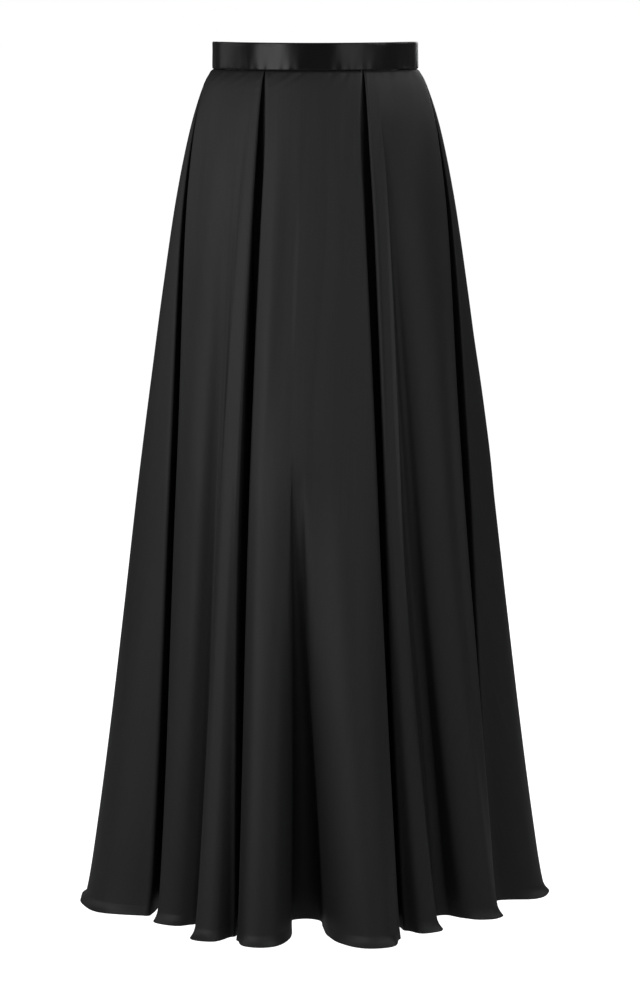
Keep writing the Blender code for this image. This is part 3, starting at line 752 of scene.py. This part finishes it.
class Graph:
    """Short names for making and joining a material's nodes."""

    def __init__(self, name):
        self.material = bpy.data.materials.new(name)
        self.material.use_nodes = True
        self.nodes = self.material.node_tree.nodes
        self.links = self.material.node_tree.links
        self.shader = self.nodes["Principled BSDF"]

    def add(self, kind, **settings):
        node = self.nodes.new(kind)
        for key, value in settings.items():
            setattr(node, key, value)
        return node

    def join(self, source, target):
        self.links.new(source, target)

    def mapped(self, source, scale, rotation=0.0):
        mapping = self.add("ShaderNodeMapping")
        mapping.inputs["Scale"].default_value = scale
        mapping.inputs["Rotation"].default_value = (0.0, 0.0, rotation)
        self.join(source, mapping.inputs["Vector"])
        return mapping.outputs["Vector"]

    def noise(self, vector, scale, detail=2.0, roughness=0.5):
        noise = self.add("ShaderNodeTexNoise")
        noise.inputs["Scale"].default_value = scale
        noise.inputs["Detail"].default_value = detail
        noise.inputs["Roughness"].default_value = roughness
        self.join(vector, noise.inputs["Vector"])
        return noise.outputs["Fac"]

    def wave(self, vector, scale, direction="X"):
        wave = self.add("ShaderNodeTexWave", bands_direction=direction, wave_profile="SIN")
        wave.inputs["Scale"].default_value = scale
        wave.inputs["Distortion"].default_value = 0.6
        wave.inputs["Detail"].default_value = 1.0
        self.join(vector, wave.inputs["Vector"])
        return wave.outputs["Fac"]

    def spread(self, value, low, high):
        """The middle of the value's range laid out from low to high."""
        node = self.add("ShaderNodeMapRange")
        node.inputs["From Min"].default_value = CONTRAST[0]
        node.inputs["From Max"].default_value = CONTRAST[1]
        node.inputs["To Min"].default_value = low
        node.inputs["To Max"].default_value = high
        self.join(value, node.inputs["Value"])
        return node.outputs["Result"]

    def blend_colours(self, value, first, second):
        ramp = self.add("ShaderNodeValToRGB")
        ramp.color_ramp.elements[0].position = CONTRAST[0]
        ramp.color_ramp.elements[1].position = CONTRAST[1]
        ramp.color_ramp.elements[0].color = (*first, 1.0)
        ramp.color_ramp.elements[1].color = (*second, 1.0)
        self.join(value, ramp.inputs["Fac"])
        return ramp.outputs["Color"]

    def bump(self, height, distance, strength=1.0, normal=None):
        node = self.add("ShaderNodeBump")
        node.inputs["Strength"].default_value = strength
        node.inputs["Distance"].default_value = distance
        self.join(height, node.inputs["Height"])
        if normal:
            self.join(normal, node.inputs["Normal"])
        return node.outputs["Normal"]

    def set(self, **values):
        for key, value in values.items():
            self.shader.inputs[key.replace("_", " ")].default_value = value


def satin(name, dark, light, roughness, gloss, anisotropy, turn=0.0):
    """Satin: long floats down the cloth, whose slight streaks run with the warp."""
    g = Graph(name)
    uv = g.add("ShaderNodeTexCoord").outputs["UV"]
    cloudy = g.noise(g.mapped(uv, scale=(9.0, 3.0, 1.0)), scale=1.0, detail=3.0)
    streaks = g.noise(g.mapped(uv, scale=(620.0, 7.0, 1.0)), scale=1.0)
    wide_streaks = g.noise(g.mapped(uv, scale=(120.0, 2.2, 1.0)), scale=1.0)
    turned = g.mapped(uv, scale=(1.0, 1.0, 1.0), rotation=math.radians(68))
    floats = g.wave(turned, scale=FLOATS_PER_METRE)
    g.join(g.blend_colours(streaks, dark, light), g.shader.inputs["Base Color"])
    uneven = g.spread(cloudy, low=roughness - 0.03, high=roughness + 0.03)
    g.join(uneven, g.shader.inputs["Roughness"])
    fine = g.bump(floats, distance=0.000015, strength=0.5)
    threads = g.bump(streaks, distance=0.00002, strength=0.5, normal=fine)
    ribs = g.bump(wide_streaks, distance=0.00008, strength=0.5, normal=threads)
    g.join(ribs, g.shader.inputs["Normal"])
    tangent = g.add("ShaderNodeTangent", direction_type="UV_MAP", uv_map="cloth")
    g.join(tangent.outputs["Tangent"], g.shader.inputs["Tangent"])
    g.set(Specular_IOR_Level=gloss, Anisotropic=anisotropy, Anisotropic_Rotation=turn)
    return g.material


def wrong_side(name, colour):
    """The satin's matt reverse."""
    g = Graph(name)
    uv = g.add("ShaderNodeTexCoord").outputs["UV"]
    turned = g.mapped(uv, scale=(1.0, 1.0, 1.0), rotation=math.radians(22))
    grain = g.wave(turned, scale=FLOATS_PER_METRE)
    streaks = g.noise(g.mapped(uv, scale=(90.0, 900.0, 1.0)), scale=1.0)
    darker = tuple(c * 0.8 for c in colour)
    g.join(g.blend_colours(streaks, darker, colour), g.shader.inputs["Base Color"])
    g.join(g.spread(streaks, low=0.62, high=0.70), g.shader.inputs["Roughness"])
    g.join(g.bump(grain, distance=0.00003, strength=0.6), g.shader.inputs["Normal"])
    g.set(Specular_IOR_Level=0.3)
    return g.material


def zip_tape_cloth():
    """Fine woven tape, matt."""
    g = Graph("zip_tape_weave")
    place = g.add("ShaderNodeTexCoord").outputs["Object"]
    rows = g.wave(place, scale=900.0, direction="Z")
    cords = g.wave(place, scale=620.0, direction="X")
    mix = g.add("ShaderNodeMath", operation="MULTIPLY")
    g.join(rows, mix.inputs[0])
    g.join(cords, mix.inputs[1])
    weave = mix.outputs[0]
    dark, light = (0.006, 0.006, 0.006), (0.016, 0.016, 0.016)
    g.join(g.blend_colours(weave, dark, light), g.shader.inputs["Base Color"])
    g.join(g.spread(rows, low=0.72, high=0.82), g.shader.inputs["Roughness"])
    g.join(g.bump(weave, distance=0.00012, strength=0.8), g.shader.inputs["Normal"])
    g.set(Specular_IOR_Level=0.3)
    return g.material


def enamel(name, colour, roughness):
    """Black enamel on cast metal, slightly uneven and rubbed."""
    g = Graph(name)
    place = g.add("ShaderNodeTexCoord").outputs["Object"]
    peel = g.noise(place, scale=900.0)
    rubbed = g.noise(place, scale=260.0, detail=4.0, roughness=0.7)
    lighter = tuple(c * 1.7 for c in colour)
    g.join(g.blend_colours(rubbed, colour, lighter), g.shader.inputs["Base Color"])
    uneven = g.spread(rubbed, low=roughness - 0.06, high=roughness + 0.10)
    g.join(uneven, g.shader.inputs["Roughness"])
    g.join(g.bump(peel, distance=0.00003, strength=0.5), g.shader.inputs["Normal"])
    g.set(Specular_IOR_Level=0.55, Coat_Weight=0.25, Coat_Roughness=0.25)
    return g.material


def nylon(name, colour):
    """Half-gloss nylon wire."""
    g = Graph(name)
    place = g.add("ShaderNodeTexCoord").outputs["Object"]
    grain = g.noise(place, scale=1400.0)
    lighter = tuple(c * 1.4 for c in colour)
    g.join(g.blend_colours(grain, colour, lighter), g.shader.inputs["Base Color"])
    g.join(g.spread(grain, low=0.32, high=0.42), g.shader.inputs["Roughness"])
    g.join(g.bump(grain, distance=0.00002, strength=0.4), g.shader.inputs["Normal"])
    return g.material


# Pieces
def make_panels(outer_satin, reverse):
    rows, points, starts = whole_skirt()
    thickness = skirt_thickness(rows)
    panels = {}
    for node, piece_name in (
        ("skirt_front", "front_panel"),
        ("skirt_back_left", "back_panel_left"),
        ("skirt_back_right", "back_panel_right"),
    ):
        grid = panel_grid(node, rows, points, starts)
        # The hem's turned-up layers are on the inside, so the wall's middle moves in there.
        extra = (thickness - SHELL_THICKNESS) / 2 * (thickness > SHELL_THICKNESS) + hem_dent(rows)
        grid = grid - grid_normals(grid) * extra[:, None, None]
        piece = shell(piece_name, grid, thickness, 0.5, [outer_satin, reverse])
        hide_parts(node)
        panels[node] = piece
    return points, starts, panels


def band_grid(first, last, columns):
    """Middle surface of a stretch of the waistband, its rows going down from the top fold."""
    degrees = np.linspace(first, last, columns)
    angle = np.radians(degrees)
    pace = np.hypot(BAND_HALF_WIDTH * np.cos(angle), BAND_HALF_DEPTH * np.sin(angle))
    around = np.concatenate([[0.0], np.cumsum((pace[1:] + pace[:-1]) / 2 * np.diff(angle))])
    around = around + BAND_HALF_DEPTH * math.radians(first)
    down = np.array(BAND_ROWS_MM) * MM
    dip = np.where(np.cos(angle) > 0, FRONT_DIP, BACK_DIP) * np.cos(angle) ** 2
    share = (down / BAND_HEIGHT)[:, None]
    lift = 0
    for length, shift, height, phase in BAND_WAVES:
        turns = (around[None, :] + shift * MM * share) / (length * MM) + phase
        lift = lift + height * MM * np.sin(2 * np.pi * turns)
    settle = smoothstep(down / BAND_SETTLE) * smoothstep((BAND_HEIGHT - down) / BAND_SETTLE)
    low = np.exp(-(BAND_HEIGHT - down) / BAND_PUCKER_RISE)
    pucker = BAND_PUCKER_HEIGHT * np.sin(2 * np.pi * around / BAND_PUCKER_LENGTH)
    waviness = BAND_EDGE_WAVES + (1 - BAND_EDGE_WAVES) * settle
    lift = lift * waviness[:, None] + low[:, None] * pucker[None, :]
    inset = BAND_THICKNESS / 2 - lift
    x = (BAND_HALF_WIDTH - inset) * np.sin(angle)[None, :]
    y = (inset - BAND_HALF_DEPTH) * np.cos(angle)[None, :]
    z = BAND_HEIGHT / 2 - down[:, None] - dip[None, :]
    return np.dstack([x, y, np.broadcast_to(z, x.shape)])


def band_thickness():
    """Thickness down the waistband: round at its top fold and at its bottom seam."""
    down = np.array(BAND_ROWS_MM) * MM
    from_fold = down / (BAND_THICKNESS * BAND_FOLD_ROUND)
    from_seam = (BAND_HEIGHT - down) / (BAND_THICKNESS * BAND_SEAM_ROUND)
    inside = np.clip(1 - np.minimum(from_fold, from_seam), 0.0, BAND_ROUNDNESS)
    return BAND_THICKNESS * np.sqrt(1 - inside**2)


def make_band(material):
    side = math.degrees(SEAM_HALF / BAND_HALF_DEPTH)
    back = math.degrees(ZIP_SLIT_HALF / BAND_HALF_WIDTH)
    half = BAND_COLUMNS // 2
    pieces = []
    for node, piece_name, first, last, columns in (
        ("waistband_front", "band_front", -90 + side, 90 - side, BAND_COLUMNS),
        ("waistband_back_left", "band_back_left", 90 + side, 180 - back, half),
        ("waistband_back_right", "band_back_right", 180 + back, 270 - side, half),
    ):
        grid = band_grid(first, last, columns)
        edge = along_rows(grid)
        from_end = np.minimum(edge, edge[:, -1:] - edge)
        roll = BAND_END_ROLL * np.exp(-((from_end / BAND_END_REACH) ** 2))
        grid = grid - grid_normals(grid) * roll[..., None]
        piece = shell(piece_name, grid, band_thickness(), 0.5, [material])
        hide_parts(node)
        pieces.append(piece)
    return pieces


def tape_line(points, starts, heights):
    """Depth in Y of the zip tape's inner face at centre back, at each of these heights."""
    seam = points[:, starts["skirt_back_right"]]
    below = seam[:, 1] - SHELL_THICKNESS / 2 - 2 * ZIP_SHELF - TAPE_THICKNESS
    band = BAND_HALF_DEPTH - BAND_THICKNESS - ZIP_SHELF - TAPE_THICKNESS
    inner = np.interp(heights, seam[::-1, 2], below[::-1])
    return np.where(heights > BAND_BOTTOM - BACK_DIP, band, inner)


def make_coil(points, starts, material):
    """Two rows of nylon coil inside the tapes' edges, meshed below the slider."""
    top = SLIDER_Z - SLIDER_HEIGHT / 2
    bottom = BAND_HEIGHT / 2 - ZIP_LENGTH + COIL_END
    turns = int((top - bottom) / COIL_PITCH)
    for name, side in (("zip_coil_left", -1), ("zip_coil_right", 1)):
        t = np.arange(turns * COIL_STEPS + 1) / COIL_STEPS
        angle = 2 * np.pi * t
        z = top - t * COIL_PITCH - (COIL_PITCH / 2 if side > 0 else 0.0)
        x = -side * COIL_OFFSET + COIL_RADIUS * COIL_FLATNESS * np.cos(angle)
        y = tape_line(points, starts, z) - COIL_RADIUS - COIL_WIRE + COIL_RADIUS * np.sin(angle)
        curve = bpy.data.curves.new(name, "CURVE")
        curve.dimensions = "3D"
        curve.bevel_depth = COIL_WIRE
        curve.bevel_resolution = 0
        curve.use_fill_caps = True
        spline = curve.splines.new("POLY")
        spline.points.add(len(t) - 1)
        path = np.stack([x, y, z, np.ones_like(x)], axis=1)
        spline.points.foreach_set("co", path.astype(np.float32).ravel())
        curve.materials.append(material)
        coil = bpy.data.objects.new(name, curve)
        bpy.context.scene.collection.objects.link(coil)
        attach(coil, "garment")


def finish_nodes(tape, slider, pull):
    """Materials for the pieces that stay as the solids have them."""
    for name, material in (
        ("zip_tape_left", tape),
        ("zip_tape_right", tape),
        ("zip_slider", slider),
        ("zip_pull", pull),
    ):
        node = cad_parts[name]
        node.data.materials.clear()
        node.data.materials.append(material)


# Stage
def make_camera():
    data = bpy.data.cameras.new("camera")
    data.lens = CAMERA_LENS
    data.sensor_width = CAMERA_SENSOR
    data.clip_end = FAR_AWAY
    camera = bpy.data.objects.new("camera", data)
    camera.location = CAMERA_PLACE
    camera.rotation_euler = (math.radians(90 - CAMERA_PITCH), 0.0, 0.0)
    bpy.context.scene.collection.objects.link(camera)
    bpy.context.scene.camera = camera


def area_light(name, place, target, size, power):
    data = bpy.data.lights.new(name, "AREA")
    data.shape = "RECTANGLE"
    data.size, data.size_y = size
    data.energy = power
    light = bpy.data.objects.new(name, data)
    light.location = place
    direction = Vector(target) - Vector(place)
    light.rotation_euler = direction.to_track_quat("-Z", "Y").to_euler()
    bpy.context.scene.collection.objects.link(light)


def make_floor():
    mesh = bpy.data.meshes.new("floor")
    half = FLOOR_SIZE / 2
    corners = [(-half, -half), (half, -half), (half, half), (-half, half)]
    mesh.from_pydata([(x, y, FLOOR_Z) for x, y in corners], [], [(0, 1, 2, 3)])
    floor = bpy.data.objects.new("floor", mesh)
    bpy.context.scene.collection.objects.link(floor)
    g = Graph("pale_floor")
    g.set(Base_Color=FLOOR_GREY, Roughness=0.9, Specular_IOR_Level=0.1, Emission_Color=WHITE)
    seen = g.add("ShaderNodeLightPath").outputs["Is Camera Ray"]
    g.join(seen, g.shader.inputs["Emission Strength"])
    mesh.materials.append(g.material)


def make_world():
    world = bpy.data.worlds.new("studio")
    world.use_nodes = True
    nodes, links = world.node_tree.nodes, world.node_tree.links
    back = nodes["Background"]
    back.inputs["Color"].default_value = WHITE
    seen = nodes.new("ShaderNodeLightPath").outputs["Is Camera Ray"]
    strength = nodes.new("ShaderNodeMapRange")
    strength.inputs["To Min"].default_value = WORLD_LIGHT
    strength.inputs["To Max"].default_value = WORLD_SEEN
    links.new(seen, strength.inputs["Value"])
    links.new(strength.outputs["Result"], back.inputs["Strength"])
    bpy.context.scene.world = world


def make_studio():
    make_camera()
    make_floor()
    make_world()
    for name, place, target, size, power in LIGHTS:
        area_light(name, place, target, size, power)
    bpy.context.scene.view_settings.view_transform = "Standard"


make_studio()
satin_face = satin(
    "black_satin",
    dark=(0.0145, 0.0145, 0.0152),
    light=(0.0175, 0.0175, 0.0184),
    roughness=0.50,
    gloss=0.27,
    anisotropy=0.60,
)
band_face = satin(
    "band_satin",
    dark=(0.0056, 0.0056, 0.0060),
    light=(0.0070, 0.0070, 0.0075),
    roughness=0.30,
    gloss=0.25,
    anisotropy=0.50,
    turn=0.25,
)
reverse_face = wrong_side("satin_reverse", colour=(0.012, 0.012, 0.0125))
grid_points, panel_starts, panel_pieces = make_panels(satin_face, reverse_face)
band_pieces = make_band(band_face)
coil_face = nylon("coil_nylon", colour=(0.010, 0.010, 0.010))
make_coil(grid_points, panel_starts, coil_face)
finish_nodes(
    tape=zip_tape_cloth(),
    slider=enamel("slider_enamel", colour=(0.018, 0.018, 0.019), roughness=0.36),
    pull=enamel("pull_enamel", colour=(0.020, 0.020, 0.021), roughness=0.34),
)
